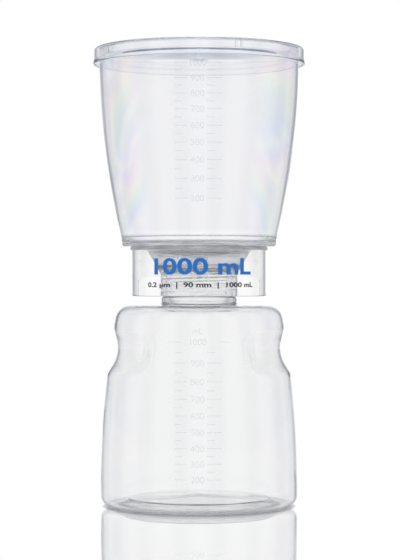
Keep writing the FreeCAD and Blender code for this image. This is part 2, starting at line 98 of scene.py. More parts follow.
# The walls mirror eight grey stripes with soft edges, but a clear sky straight behind the object.
card_count = 8.0
azimuth = add_node(tree, "Math", [back, right], operation="ARCTAN2")
turns = add_node(tree, "Math", [azimuth, card_count], operation="MULTIPLY")
wave = add_node(tree, "Math", [turns], operation="COSINE")
stripes = add_node(tree, "MapRange", [wave, -1.0, 0.6, 0.74, 0.40], interpolation_type="SMOOTHSTEP")
aside = add_node(tree, "MapRange", [back, 0.985, 0.95], interpolation_type="SMOOTHSTEP")
cards = add_node(tree, "Math", [stripes, aside], operation="MULTIPLY")
mirrored = add_node(tree, "Math", [path["Is Glossy Ray"], cards], operation="MULTIPLY")
# Bent light meets the same stripes, much fainter, and a grey band that lies a little above the level.
band_height, band_fade, band_core = 0.36, 0.24, 0.05
lift = add_node(tree, "Math", [up, band_height], operation="SUBTRACT")
off_band = add_node(tree, "Math", [lift], operation="ABSOLUTE")
band = add_node(tree, "MapRange", [off_band, band_fade, band_core, 0.0, 0.3], interpolation_type="SMOOTHSTEP")
faint = add_node(tree, "MapRange", [wave, -0.1, -0.95, 0.0, 0.12], interpolation_type="SMOOTHSTEP")
bent = add_node(tree, "Math", [faint, band], operation="MAXIMUM")
passed = add_node(tree, "Math", [path["Is Transmission Ray"], bent], operation="MULTIPLY")
# Light that has crossed many walls meets less grey, so the layers at the neck don't go black.
walls_crossed = path["Transmission Depth"]
shallow = add_node(tree, "MapRange", [walls_crossed, 3.0, 10.0, 1.0, 0.25], interpolation_type="SMOOTHSTEP")
either = add_node(tree, "Math", [mirrored, passed], operation="MAXIMUM")
share = add_node(tree, "Math", [either, shallow], operation="MULTIPLY")
colour = add_node(tree, "Mix", {0: share, 6: white, 7: card_grey}, data_type="RGBA").outputs[2]
# Matt parts inside are lit through the clear walls around them, which pass too little light here.
matt_light = add_node(tree, "Math", [path["Diffuse Depth"], 1.0], operation="MINIMUM")
boost = add_node(tree, "MapRange", [walls_crossed, 1.5, 5.5, 0.0, 3.2], interpolation_type="SMOOTHSTEP")
strength = add_node(tree, "Math", [matt_light, boost, 1.0], operation="MULTIPLY_ADD")
background = add_node(tree, "Background", {"Color": colour, "Strength": strength})
add_node(tree, "OutputWorld", {"Surface": background})
scene.world = sky


OBJECT_MIDDLE = Vector((0, 0, 0.14))


def lamp(name, place, size, power):
    """A square soft box that faces the object's middle."""
    light = bpy.data.lights.new(name, "AREA")
    light.size = size
    light.energy = power
    holder = bpy.data.objects.new(name, light)
    holder.location = place
    aim = OBJECT_MIDDLE - Vector(place)
    holder.rotation_euler = aim.to_track_quat("-Z", "Y").to_euler()
    holder.visible_camera = False
    holder.visible_transmission = False
    holder.visible_glossy = False
    scene.collection.objects.link(holder)


lamp("lamp_left", (-0.9, -0.9, 1.1), size=0.5, power=5.0)
lamp("lamp_right", (1.1, -0.5, 0.8), size=0.4, power=3.0)

floor_radius, floor_gap = 4, 0.0003
bpy.ops.mesh.primitive_circle_add(
    vertices=96, radius=floor_radius, fill_type="NGON", location=(0, 0, -floor_gap))
floor = bpy.context.object
floor.name = "floor"
gloss = bpy.data.materials.new("white_acrylic_floor")
gloss.use_nodes = True
tree = gloss.node_tree
tree.nodes.clear()
place = add_node(tree, "TexCoord").outputs["Object"]
away = add_node(tree, "VectorMath", [place], operation="LENGTH").outputs["Value"]
foot_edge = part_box("bottle")[1].x
# Cast acrylic: plain white. Only under the object is it matt, so that it takes the shade there.
matt = add_node(tree, "BsdfDiffuse", {"Color": (0.9, 0.9, 0.9, 1)})
bright = add_node(tree, "Emission", {"Color": white, "Strength": 1.0})
beyond = [away, foot_edge - 0.0145, foot_edge - 0.0005, 0.35, 1.0]
lightness = add_node(tree, "MapRange", beyond, interpolation_type="SMOOTHSTEP")
body = add_node(tree, "MixShader", [lightness, matt, bright])
# Its polish mirrors the object. In the narrow ring where the foot rests on it, the mirror's colour is greyed:
# a painted contact shadow.
inwards = add_node(tree, "MapRange", [away, 0.040, 0.050], interpolation_type="SMOOTHSTEP")
outwards = add_node(tree, "MapRange", [away, foot_edge, foot_edge - 0.003], interpolation_type="SMOOTHSTEP")
ring = add_node(tree, "Math", [inwards, outwards], operation="MULTIPLY")
# Painted contact shadow: the grey that the mirror takes in the ring under the foot.
painted_contact_shadow_grey = (0.45, 0.45, 0.47, 1)
tint = add_node(tree, "Mix", {0: ring, 6: white, 7: painted_contact_shadow_grey}, data_type="RGBA").outputs[2]
mirror = add_node(tree, "BsdfGlossy", {"Color": tint, "Roughness": 0.04})
# Far from the object the polish fades out, so that the floor runs into the white behind it.
distant = add_node(tree, "MapRange", [away, 0.3, 0.8], interpolation_type="SMOOTHSTEP")
seen = add_node(tree, "LightPath").outputs["Is Camera Ray"]
fade = add_node(tree, "Math", [seen, distant], operation="MULTIPLY")
near = add_node(tree, "Math", [1.0, fade], operation="SUBTRACT")
polish = add_node(tree, "Math", [near, 0.75], operation="MULTIPLY")
both = add_node(tree, "MixShader", [polish, body, mirror])
add_node(tree, "OutputMaterial", {"Surface": both})
floor.data.materials.append(gloss)

# ---------------------------------------------------------------------------------------------------
# Bottle. Stretch-blown polycarbonate of even wall, with a domed push-up under the foot, a finger grip
# pressed into each side, a bead under the neck and a moulded screw thread on it.
# ---------------------------------------------------------------------------------------------------

MM = 0.001


def box(node):
    """The low and the high corner of a node of the frame, in millimetres."""
    low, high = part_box(node)
    return low / MM, high / MM


def linear(colour):
    """An sRGB hex colour as linear red, green, blue and alpha."""
    channels = []
    for at in (1, 3, 5):
        part = int(colour[at : at + 2], 16) / 255
        channels.append(part / 12.92 if part < 0.04045 else ((part + 0.055) / 1.055) ** 2.4)
    return (*channels, 1)


def new_material(name):
    """A material with its node tree, its shader and the place on the object in millimetres."""
    material = bpy.data.materials.new(name)
    material.use_nodes = True
    tree = material.node_tree
    tree.nodes.clear()
    metres = add_node(tree, "TexCoord").outputs["Object"]
    place = add_node(tree, "VectorMath", {0: metres, "Scale": 1 / MM}, operation="SCALE", name="place")
    shader = add_node(tree, "BsdfPrincipled", name="shader")
    add_node(tree, "OutputMaterial", {"Surface": shader}, name="output")
    return material, tree, shader, place


def clear_plastic(name, index, waviness, density, depth_tint=(0.0, 0.03, 0.10, 1)):
    """Clear plastic with a trace of haze, and soft waves from moulding that are waviness millimetres high.
    It takes on the tint with depth, so that it is darkest where the eye looks along a wall."""
    material, tree, shader, place = new_material(name)
    haze_grain, wave_length = 6.0, 24.0
    haze = add_node(tree, "TexNoise", {"Vector": place, "Scale": 1 / haze_grain, "Detail": 3.0})
    drawn = add_node(tree, "VectorMath", [place, (1, 1, 0.5)], operation="MULTIPLY")
    waves = add_node(tree, "TexNoise", {"Vector": drawn, "Scale": 1 / wave_length, "Detail": 1.0})
    roughness = [haze, 0.3, 0.8, 0.002, 0.012]
    connect(tree, shader, {
        "Base Color": white,
        "Roughness": add_node(tree, "MapRange", roughness, interpolation_type="SMOOTHSTEP"),
        "Normal": add_node(tree, "Bump", {"Height": waves, "Distance": waviness * MM, "Strength": 1.0}),
        "Transmission Weight": 1.0,
        "IOR": index,
    })
    body = add_node(tree, "VolumeAbsorption", {"Color": depth_tint, "Density": density})
    connect(tree, tree.nodes["output"], {"Volume": body})
    return material


def stress_colours(material, colour, rainbow, foot):
    """Adds the pale rainbow that stress locked into the plastic shows at its sides. Below the level foot,
    where many walls lie close behind each other, the plastic itself is left without its colour."""
    tree = material.node_tree
    place = tree.nodes["place"]
    across, _, level = add_node(tree, "SeparateXYZ", [place]).outputs
    flat = add_node(tree, "VectorMath", [place, (1, 1, 0)], operation="MULTIPLY")
    reach = add_node(tree, "VectorMath", [flat], operation="LENGTH").outputs["Value"]
    off_axis = add_node(tree, "Math", [reach, 1.0], operation="MAXIMUM")
    aside = add_node(tree, "Math", [across], operation="ABSOLUTE")
    side = add_node(tree, "Math", [aside, off_axis], operation="DIVIDE")
    # The colours follow each other sideways and a little upwards, and wander in patches of some centimetres.
    sideways, upwards, wander, patch_size = 1.3, 0.017, 2.2, 42.0
    drawn = add_node(tree, "VectorMath", [place, (1, 1, 0.6)], operation="MULTIPLY")
    drift = add_node(tree, "TexNoise", {"Vector": drawn, "Scale": 1 / patch_size, "Detail": 1.0})
    climb = add_node(tree, "Math", [level, upwards], operation="MULTIPLY")
    drifted = add_node(tree, "Math", [drift, wander, climb], operation="MULTIPLY_ADD")
    turns = add_node(tree, "Math", [side, sideways, drifted], operation="MULTIPLY_ADD")
    phase = add_node(tree, "Math", [turns], operation="FRACT")
    hues = add_node(tree, "ValToRGB", [phase])
    pastels = ("#FFFFFF", "#A9C4FF", "#B4F2CC", "#FFF6D8", "#FFC3EA", "#CDBBFF", "#FFFFFF")
    hues.color_ramp.elements[0].color = linear(pastels[0])
    hues.color_ramp.elements[1].color = linear(pastels[-1])
    for number, pastel in enumerate(pastels[1:-1], start=1):
        hues.color_ramp.elements.new(number / (len(pastels) - 1)).color = linear(pastel)
    rise = add_node(tree, "MapRange", [side, 0.52, 0.78], interpolation_type="SMOOTHSTEP")
    fall = add_node(tree, "MapRange", [side, 0.995, 0.93], interpolation_type="SMOOTHSTEP")
    bow = add_node(tree, "Math", [rise, fall], operation="MULTIPLY")
    share = add_node(tree, "Math", [bow, rainbow], operation="MULTIPLY")
    above = add_node(tree, "MapRange", [level, foot, foot + 4.0], interpolation_type="SMOOTHSTEP")
    wall = add_node(tree, "Mix", {0: above, 6: white, 7: linear(colour)}, data_type="RGBA").outputs[2]
    coloured = add_node(tree, "Mix", {0: share, 6: wall, 7: hues}, data_type="RGBA").outputs[2]
    connect(tree, tree.nodes["shader"], {"Base Color": coloured})


ARC_STEP = 0.22


def rounded(corners, closed=True):
    """Points of an outline from its corners, each (radius, level, rounding) in millimetres. A rounding
    becomes an arc with a point about every ARC_STEP radians."""
    points = []
    for number, (radius, level, bend) in enumerate(corners):
        here = Vector((radius, level))
        if not bend or (not closed and number in (0, len(corners) - 1)):
            points.append(tuple(here))
            continue
        back = (Vector(corners[number - 1][:2]) - here).normalized()
        ahead = (Vector(corners[(number + 1) % len(corners)][:2]) - here).normalized()
        half = back.angle(ahead) / 2
        centre = here + (back + ahead).normalized() * (bend / math.sin(half))
        first = here + back * (bend / math.tan(half)) - centre
        last = here + ahead * (bend / math.tan(half)) - centre
        sweep = math.pi - 2 * half
        count = max(2, round(sweep / ARC_STEP))
        for step in range(count + 1):
            ends = math.sin(sweep * (1 - step / count)), math.sin(sweep * step / count)
            points.append(tuple(centre + (first * ends[0] + last * ends[1]) / math.sin(sweep)))
    return points


def bowed(foot, rim, steps, upright_at_foot):
    """Points along a side that stands upright at one end and leans in towards the other."""
    upright, leaning = (foot, rim) if upright_at_foot else (rim, foot)
    rise, inset = abs(rim[1] - foot[1]), upright[0] - leaning[0]
    bend = (rise * rise + inset * inset) / (2 * inset)
    points = []
    for step in range(steps + 1):
        level = foot[1] + (rim[1] - foot[1]) * step / steps
        radius = upright[0] - bend + math.sqrt(bend * bend - (level - upright[1]) ** 2)
        points.append((radius, level))
    return points


def filled(points, step, closed=False):
    """The same outline with no gap between points longer than step."""
    dense = []
    for here, after in zip(points, points[1:] + (points[:1] if closed else [])):
        run = (Vector(after) - Vector(here)).length
        parts = max(1, math.ceil(run / step))
        dense += [tuple(Vector(here).lerp(Vector(after), part / parts)) for part in range(parts)]
    return dense if closed else dense + [points[-1]]


def steps_between(first, last, count):
    """Evenly spaced numbers from first to last, both included."""
    return [first + (last - first) * step / count for step in range(count + 1)]


def closed_piece(name, vertices, faces):
    """A mesh object in the scene, with its faces turned outward and all of them smooth."""
    mesh = bpy.data.meshes.new(name)
    mesh.from_pydata([tuple(c * MM for c in vertex) for vertex in vertices], [], faces)
    work = bmesh.new()
    work.from_mesh(mesh)
    bmesh.ops.recalc_face_normals(work, faces=work.faces)
    work.to_mesh(mesh)
    work.free()
    mesh.shade_smooth()
    piece = bpy.data.objects.new(name, mesh)
    scene.collection.objects.link(piece)
    return piece


def turned(name, points, around=256, shape=None):
    """Turns an outline about Z. It is a closed loop, or starts and ends on the axis. shape(angle,
    radius, level, place in the outline) may move a point in or out."""
    vertices, faces, rows = [], [], []
    for number, (radius, level) in enumerate(points):
        if radius < 1e-6:
            rows.append([len(vertices)] * around)
            vertices.append((0, 0, level))
            continue
        rows.append(list(range(len(vertices), len(vertices) + around)))
        for step in range(around):
            angle = 2 * math.pi * step / around
            out = shape(angle, radius, level, number) if shape else radius
            vertices.append((out * math.cos(angle), out * math.sin(angle), level))
    for lower, upper in zip(rows, rows[1:] + rows[:1]):
        if lower[0] == lower[1] and upper[0] == upper[1]:
            continue
        for step in range(around):
            after = (step + 1) % around
            corners = (lower[step], lower[after], upper[after], upper[step])
            faces.append(tuple(dict.fromkeys(corners)))
    return closed_piece(name, vertices, faces)


def dress(piece, material, body, slot, *nodes):
    """Gives a finished piece its material, its body and the nodes that it stands for."""
    piece.data.materials.clear()
    piece.data.materials.append(material)
    piece.data.set_sharp_from_angle(angle=math.radians(32))
    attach(piece, body)
    if nodes:
        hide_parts(*nodes)


def eased(value, low, high):
    """Goes smoothly from 0 to 1 while value goes from low to high."""
    share = min(max((value - low) / (high - low), 0), 1)
    return share * share * (3 - 2 * share)


THREAD_PITCH, THREAD_HALF_WIDTH, THREAD_RUN_OUT = 4.0, 0.95, 1.5


def thread(angle, level, start, low, high):
    """Height, from 0 to 1, of a right-handed screw ridge at this point. It runs out at low and high."""
    turns = (level - start) / THREAD_PITCH - angle / (2 * math.pi)
    away = abs(turns - round(turns)) * THREAD_PITCH
    crest = 1 - eased(away, THREAD_HALF_WIDTH * 0.3, THREAD_HALF_WIDTH)
    starting, ending = eased(level, low, low + THREAD_RUN_OUT), eased(level, high - THREAD_RUN_OUT, high)
    return crest * starting * (1 - ending)


BOTTLE_WALL = 1.3
bottle_high = box("bottle")[1]
belly_radius, neck_top = bottle_high.x, bottle_high.z
belly_level = 12.0
shoulder_radius, shoulder_level = belly_radius - 10.3, neck_top - 21.7
foot_inner, pushup_radius, pushup_level = belly_radius - 10.0, belly_radius - 17.5, 4.0
neck_radius, neck_foot = 20.6, shoulder_level + 0.9
neck_bore, bead_radius, bead_top = neck_radius - 1.8, neck_radius + 2.7, neck_foot + 4.6
grip_level, grip_section, grip_sweep = neck_top - 47.7, 19.0, 92.0
grip_ring = belly_radius - 10.4 + grip_section


def gripped(angle, radius, level, wall):
    """The bottle's radius with its two finger grips pressed in, blended at the rim."""
    section = grip_section + wall
    rise = level - grip_level
    turn = abs(math.degrees(math.atan2(math.sin(angle), abs(math.cos(angle)))))
    beyond = math.radians(max(turn - grip_sweep / 2, 0))
    inside = section * section - rise * rise - (grip_ring * math.sin(beyond)) ** 2
    if inside <= 0:
        return radius
    grip = grip_ring * math.cos(beyond) - math.sqrt(inside)
    blend = 4.0 - wall
    mixed = max(blend - abs(radius - grip), 0) / blend
    return min(radius, grip) - mixed * mixed * blend / 4


pushup_middle = pushup_level + 2.5
side = bowed((belly_radius, belly_level), (shoulder_radius, shoulder_level), 30, True)
foot = [
    (0, pushup_middle, 0), (pushup_radius, pushup_level, 3), (foot_inner, 0, 2.5), (belly_radius, 0, 6.5),
    side[0] + (0,)]
shoulder = [side[-5] + (0,), side[-1] + (9.5,), (neck_radius, neck_foot, 0)]
bead_middle = (neck_foot + bead_top) / 2
bead = [
    (bead_radius + 4, neck_foot - 0.2, 0), (bead_radius - 0.7, neck_foot, 1.2),
    (bead_radius, bead_middle, 1.6), (bead_radius - 0.7, bead_top, 1.2), (neck_radius, bead_top, 0.5)]
outer = rounded(foot, closed=False) + side[1:-4] + rounded(shoulder, closed=False)[1:-1]
outer = filled(outer + rounded(bead + [(neck_radius, neck_top, 0)], closed=False)[:-1], 1.6)
outer += [(neck_radius, level) for level in steps_between(outer[-1][1] + 0.4, neck_top - 0.4, 44)]
outer += [(neck_radius - 0.4, neck_top)]

inner_side = [(radius - BOTTLE_WALL, level) for radius, level in side[:-1]]
inner_side.append((shoulder_radius - BOTTLE_WALL, shoulder_level - BOTTLE_WALL))
mouth = [
    (neck_bore + 1, neck_top, 0), (neck_bore, neck_top, 0.4), (neck_bore, neck_foot - BOTTLE_WALL, 2.5),
    inner_side[-1] + (8.2,), inner_side[-5] + (0,)]
inside_foot = [
    inner_side[0] + (0,), (belly_radius - BOTTLE_WALL, BOTTLE_WALL, 5.2),
    (foot_inner + 0.4, BOTTLE_WALL, 2.5), (pushup_radius, pushup_level + BOTTLE_WALL, 3),
    (0, pushup_middle + BOTTLE_WALL, 0)]
inner = rounded(mouth, closed=False)[1:] + inner_side[-6:0:-1] + rounded(inside_foot, closed=False)
inner = filled(inner, 1.6)


NECK_RIDGE = 0.3


def bottle_radius(angle, radius, level, number):
    """The grips are pressed into the belly, on both faces of its wall, and the thread stands on the neck."""
    wall = 0.0 if number < len(outer) else BOTTLE_WALL
    if radius > shoulder_radius - 5:
        return gripped(angle, radius, level, wall)
    if radius == neck_radius:
        return radius + NECK_RIDGE * thread(angle, level, bead_top + 3, bead_top + 1.6, neck_top - 1.5)
    return radius


bottle = turned("bottle_shell", outer + inner, 240, bottle_radius)
# Polycarbonate: water-clear with a breath of grey, and slow waves where the wall was blown.
polycarbonate = clear_plastic("blown_polycarbonate", index=1.58, waviness=0.22, density=10.0)
stress_colours(polycarbonate, "#FDFDFD", rainbow=0.03, foot=1.0)
dress(bottle, polycarbonate, "bottle_body", "clear_bottle", "bottle")

# ---------------------------------------------------------------------------------------------------
# Neck gasket. A flat ring of translucent silicone on the neck's lip, with slightly rounded edges.
# ---------------------------------------------------------------------------------------------------


def mottled(name, grain, colours, roughness, rise=0.0, stretch=(1, 1, 1), detail=4.0, cloud=None, inputs=()):
    """A material whose colour and roughness wander between two ends, in patches of grain millimetres that
    stand up to rise millimetres proud. The colour's patches may have a size of their own, cloud. inputs
    holds the shader's other numbers."""
    material, tree, shader, place = new_material(name)
    drawn = add_node(tree, "VectorMath", [place, stretch], operation="MULTIPLY")
    grains = {"Vector": drawn, "Scale": 1 / grain, "Detail": detail}
    patches = add_node(tree, "TexNoise", grains)
    clouds = add_node(tree, "TexNoise", {**grains, "Scale": 1 / cloud}) if cloud else patches
    ends = {0: clouds, 6: linear(colours[0]), 7: linear(colours[1])}
    shine = [patches, 0.3, 0.7, *roughness]
    connect(tree, shader, {
        "Base Color": add_node(tree, "Mix", ends, data_type="RGBA").outputs[2],
        "Roughness": add_node(tree, "MapRange", shine, interpolation_type="SMOOTHSTEP"),
    })
    if rise:
        relief = {"Height": patches, "Distance": rise * MM, "Strength": 1.0}
        connect(tree, shader, {"Normal": add_node(tree, "Bump", relief)})
    connect(tree, shader, inputs)
    return material


gasket_low, gasket_high = box("neck_gasket")
gasket_inside, edge_round = gasket_high.x - 2.9, 0.35
gasket = turned("neck_gasket_ring", rounded([
    (gasket_inside, gasket_low.z, edge_round), (gasket_high.x, gasket_low.z, edge_round),
    (gasket_high.x, gasket_high.z, edge_round), (gasket_inside, gasket_high.z, edge_round)]), 160)
# Silicone: milky and soft, with a faint dusty bloom.
silicone = mottled(
    "translucent_silicone", 1.5, ("#DDE0E2", "#F1F2F1"), (0.38, 0.55), rise=0.02,
    inputs={"Transmission Weight": 0.45, "IOR": 1.41})
dress(gasket, silicone, "neck_seal", "silicone", "neck_gasket")

# ---------------------------------------------------------------------------------------------------
# Filter base. One clear styrene moulding: the dish that holds the membrane, the cone and drip spout
# below it, the threaded collar, the outer skirt with its back cut low, and the vacuum port.
# ---------------------------------------------------------------------------------------------------


def combine(piece, tool, operation):
    """Joins a closed tool to a closed piece, or cuts it away, and uses the tool up."""
    modifier = piece.modifiers.new("combine", "BOOLEAN")
    modifier.operation = operation
    modifier.solver = "MANIFOLD"
    modifier.object = tool
    bpy.context.view_layer.update()
    shaped = piece.evaluated_get(bpy.context.evaluated_depsgraph_get())
    mesh = bpy.data.meshes.new_from_object(shaped)
    piece.modifiers.clear()
    piece.data = mesh
    bpy.data.objects.remove(tool)


def laid_along_y(piece, level):
    """Turns a piece that was made along Z so that it points to +Y at this level, in its mesh."""
    turn = Matrix.Rotation(-math.pi / 2, 4, "X")
    piece.data.transform(Matrix.Translation((0, 0, level * MM)) @ turn)


def rod(name, radius, start, end, level):
    """A plain round tool along +Y."""
    made = turned(name, [(0, start), (radius, start), (radius, end), (0, end)], 64)
    laid_along_y(made, level)
    return made


base_low, base_high = box("filter_base")
dish_radius, dish_top, skirt_foot, port_face = base_high.x, base_high.z, base_low.z, base_high.y
seat_level, seat_radius = gasket_high.z, neck_radius + 1.6
collar_radius, collar_foot = seat_radius + 1.5, skirt_foot + 0.5
skirt_radius, skirt_wall, cut_top, cut_side = dish_radius - 4.3, 1.6, skirt_foot + 11.8, dish_radius - 7.0
plate_level, flange_top, flange_radius = seat_level + 10.3, seat_level + 12.2, skirt_radius + 1.1
dish_foot = flange_top + 0.4
chamber_floor, chamber_top_radius, cone_top_radius = seat_level + 1.5, skirt_radius - 10.9, skirt_radius - 9.4
support_low, support_high = box("membrane_support")
support_seat, drain_radius, drain_level = support_low.z, dish_radius - 5.6, support_low.z - 1.0
spout_bore, spout_radius, spout_foot = 4.0, 5.3, plate_level - 18.4
port_level = (chamber_floor + plate_level) / 2

skirt_section = [
    (skirt_radius - skirt_wall, skirt_foot, 0.3), (skirt_radius, skirt_foot, 0.5),
    (skirt_radius, flange_top, 0), (skirt_radius - skirt_wall, flange_top, 0)]
skirt = turned("filter_base_shell", filled(rounded(skirt_section), 2.0, closed=True))
notch_foot, notch_depth = skirt_foot - 9, 60
notch = rounded([
    (-cut_side, notch_foot, 0), (cut_side, notch_foot, 0), (cut_side, cut_top, 4), (-cut_side, cut_top, 4)])
count = len(notch)
notch_ends = [tuple(range(count)), tuple(range(count, 2 * count))]
notch_sides = [(at, (at + 1) % count, count + (at + 1) % count, count + at) for at in range(count)]
notch_points = [(x, y, z) for y in (0, notch_depth) for x, z in notch]
combine(skirt, closed_piece("skirt_notch", notch_points, notch_ends + notch_sides), "DIFFERENCE")


COLLAR_RIDGE = 0.2


def collar_thread(angle, radius, level, number):
    """The thread inside the collar stands in from its bore."""
    if radius == seat_radius and level < seat_level - 1:
        ridge = thread(angle, level, skirt_foot + 0.9, collar_foot + 0.3, seat_level - 4)
        return radius - COLLAR_RIDGE * ridge
    return radius


under_plate = [
    (spout_bore, spout_foot, 0.3), (spout_radius, spout_foot, 0.4), (spout_radius, plate_level - 3.4, 1.2),
    (chamber_top_radius, plate_level, 1.2), (collar_radius + 1.9, chamber_floor, 0.8),
    (gasket_inside, chamber_floor, 0.4), (gasket_inside, seat_level, 0.3), (seat_radius, seat_level, 0.3)]
thread_rows = [(seat_radius, level) for level in steps_between(seat_level - 0.4, collar_foot + 0.4, 46)]
outside_cone = [
    (seat_radius, collar_foot + 0.3, 0), (seat_radius, collar_foot, 0.2), (collar_radius, collar_foot, 0.4),
    (collar_radius, seat_level - 4.6, 2.0), (cone_top_radius, plate_level, 3.0)]
flange_lip, pocket_radius = flange_radius - 0.4, support_high.x + 0.3
dish = [
    (flange_radius, plate_level, 0.5), (flange_radius, flange_top, 0.3), (flange_lip, flange_top, 0),
    (flange_lip, dish_foot, 0), (dish_radius, dish_foot, 0.3), (dish_radius, dish_top, 0.3),
    (pocket_radius, dish_top, 0.2), (pocket_radius, support_seat, 0.2), (drain_radius, support_seat, 0.3),
    (drain_radius, drain_level, 0.3), (spout_bore, drain_level - 4.4, 0.6), (spout_bore, seat_level + 3, 0)]
below, above = rounded(under_plate, closed=False), rounded(outside_cone + dish, closed=False)
core = turned("base_core", below + thread_rows + above[1:], shape=collar_thread)
combine(skirt, core, "UNION")
port_radius, port_bore, pad_radius, pad_across = 5.0, 3.2, 1.6, 11.5
combine(skirt, rod("port_wall", port_radius, collar_radius + 3.4, port_face, port_level), "UNION")
combine(skirt, rod("port_bore", port_bore, collar_radius - 3.7, port_face + 2, port_level), "DIFFERENCE")
for across in (-pad_across, pad_across):
    pad = rod("skirt_pad", pad_radius, skirt_radius - 4.3, skirt_radius - 2.3, cut_top + 2.7)
    pad.data.transform(Matrix.Translation((across * MM, 0, 0)))
    combine(skirt, pad, "UNION")
# Styrene: brilliant and cooler than the bottle. The cone's inside has the fine grain of the mould, which
# blurs what is behind it. Its colour there is painted a little greyer, as painted shade for the dim bowl
# under the dish.
styrene = clear_plastic("moulded_styrene", index=1.59, waviness=0.06, density=1.0)
tree = styrene.node_tree
place = tree.nodes["place"]
level = add_node(tree, "SeparateXYZ", [place]).outputs["Z"]
flat = add_node(tree, "VectorMath", [place, (1, 1, 0)], operation="MULTIPLY")
reach = add_node(tree, "VectorMath", [flat], operation="LENGTH").outputs["Value"]
grain_and_shade_inner, grain_and_shade_outer = 14.0, 34.5
inner_edge = [reach, grain_and_shade_inner - 2, grain_and_shade_inner + 2]
outer_edge = [reach, grain_and_shade_outer + 1.5, grain_and_shade_outer - 1.5]
outside_spout = add_node(tree, "MapRange", inner_edge, interpolation_type="SMOOTHSTEP")
inside_skirt = add_node(tree, "MapRange", outer_edge, interpolation_type="SMOOTHSTEP")
upward = [level, seat_level - 3, seat_level + 3]
above_collar = add_node(tree, "MapRange", upward, interpolation_type="SMOOTHSTEP")
ring = add_node(tree, "Math", [outside_spout, inside_skirt], operation="MULTIPLY")
grain_haze_and_painted_shade = add_node(tree, "Math", [ring, above_collar], operation="MULTIPLY")
# Painted shade: the cone's inside is greyed where the bowl under the dish lies in shade. Only the roughness
# is the mould's grain.
grey = {0: grain_haze_and_painted_shade, 6: white, 7: linear("#F1F2F5")}
connect(tree, tree.nodes["shader"], {
    "Base Color": add_node(tree, "Mix", grey, data_type="RGBA").outputs[2],
    "Roughness": add_node(tree, "Math", [grain_haze_and_painted_shade, 0.12], operation="MULTIPLY"),
})
dress(skirt, styrene, "filter_top", "clear_styrene", "filter_base")

# ---------------------------------------------------------------------------------------------------
# Membrane support and membrane. The support is a slotted disc of moulded styrene with a fine drainage
# texture, and the membrane on it is a cast polymer sheet. Both keep the frame's own mesh.
# ---------------------------------------------------------------------------------------------------


def finish_node(node, material):
    """Gives a node of the frame its finish."""
    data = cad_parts[node].data
    data.materials.clear()
    data.materials.append(material)


# The support's styrene: its texture scatters light, so it looks milky and even.
finish_node("membrane_support", mottled(
    "textured_styrene", 0.5, ("#EEF0F3", "#FAFBFC"), (0.4, 0.6),
    inputs={"Transmission Weight": 0.2, "IOR": 1.3}))
# Cast membrane: dead matt and pure white, with a barely visible porous tooth. The real pores are far
# too fine to show, so they are drawn a quarter of a millimetre wide.
finish_node("membrane", mottled(
    "cast_membrane_sheet", 0.25, ("#F1F1EE", "#FCFCFA"), (0.8, 0.95), rise=0.01))

# ---------------------------------------------------------------------------------------------------
# Funnel. A deep clear styrene cup that leans in towards its foot, welded over the dish of the base.
# Seen from the front, the weld is a thin dull line that wanders a little.
# ---------------------------------------------------------------------------------------------------

funnel_wall = 1.6
funnel_low, funnel_high = box("funnel")
clamp_level, step_level = box("membrane")[1].z, dish_top + 2.7
funnel_bore, ledge_radius, step_radius = dish_radius + 0.1, support_high.x, dish_radius + 2.4
outside = bowed((step_radius, step_level), (funnel_high.x, funnel_high.z), 60, False)
inside = [(radius - funnel_wall, level) for radius, level in outside]
foot_corners = [
    (funnel_bore, funnel_low.z, 0.3), (funnel_bore + 1.5, funnel_low.z, 1.1), outside[0] + (0.4,),
    outside[1] + (0,)]
rim_corners = [outside[-2] + (0,), outside[-1] + (0.6,), inside[-1] + (0.6,), inside[-2] + (0,)]
ledge_corners = [
    inside[1] + (0,), inside[0] + (0.6,), (ledge_radius, step_level, 0.5), (ledge_radius, clamp_level, 0.3),
    (funnel_bore, clamp_level, 0.3), (funnel_bore, funnel_low.z, 0)]
foot, rim, ledge = (rounded(corners, closed=False) for corners in (foot_corners, rim_corners, ledge_corners))
funnel = turned("funnel_shell", foot[1:] + outside[2:-1] + rim[1:] + inside[-3:1:-1] + ledge)
# Styrene again, with the strongest rainbow colours, because this piece was moulded from one gate.
funnel_styrene = clear_plastic("funnel_styrene", index=1.59, waviness=0.10, density=3.0)
stress_colours(funnel_styrene, "#FBFBFC", rainbow=0.14, foot=167.0)
dress(funnel, funnel_styrene, "filter_top", "clear_styrene", "funnel")


def weld_level(angle):
    """The weld's melted edge wanders up and down on its way round."""
    first, second = math.radians(130), math.radians(150)
    return clamp_level - 2.6 + 0.9 * math.cos(angle + first) + 0.6 * math.cos(2 * (angle + second))


weld_steps = 256
weld_section = ((0.02, -0.2), (0.08, -0.2), (0.08, 0.2), (0.02, 0.2))
weld_points, weld_faces = [], []
for step in range(weld_steps):
    angle = 2 * math.pi * step / weld_steps
    here, after = step * 4, (step + 1) % weld_steps * 4
    for corner, (proud, rise) in enumerate(weld_section):
        out = dish_radius + proud
        weld_points.append((out * math.cos(angle), out * math.sin(angle), weld_level(angle) + rise))
        other = (corner + 1) % 4
        weld_faces.append((here + corner, here + other, after + other, after + corner))
weld = closed_piece("weld_line", weld_points, weld_faces)
# Melted styrene: dull and faintly grey, because fine bubbles froze in it.
melt = mottled(
    "melted_weld_line", 0.7, ("#B9BDC6", "#D9DCE2"), (0.3, 0.5),
    inputs={"Transmission Weight": 0.5, "IOR": 1.2})
dress(weld, melt, "filter_top", "clear_styrene")

# ---------------------------------------------------------------------------------------------------
# Lid. A thin dished disc with a rolled rim. Four pairs of short ribs on its plug centre it in the
# funnel, and a shallow cone under its middle is where the mould was filled.
# ---------------------------------------------------------------------------------------------------


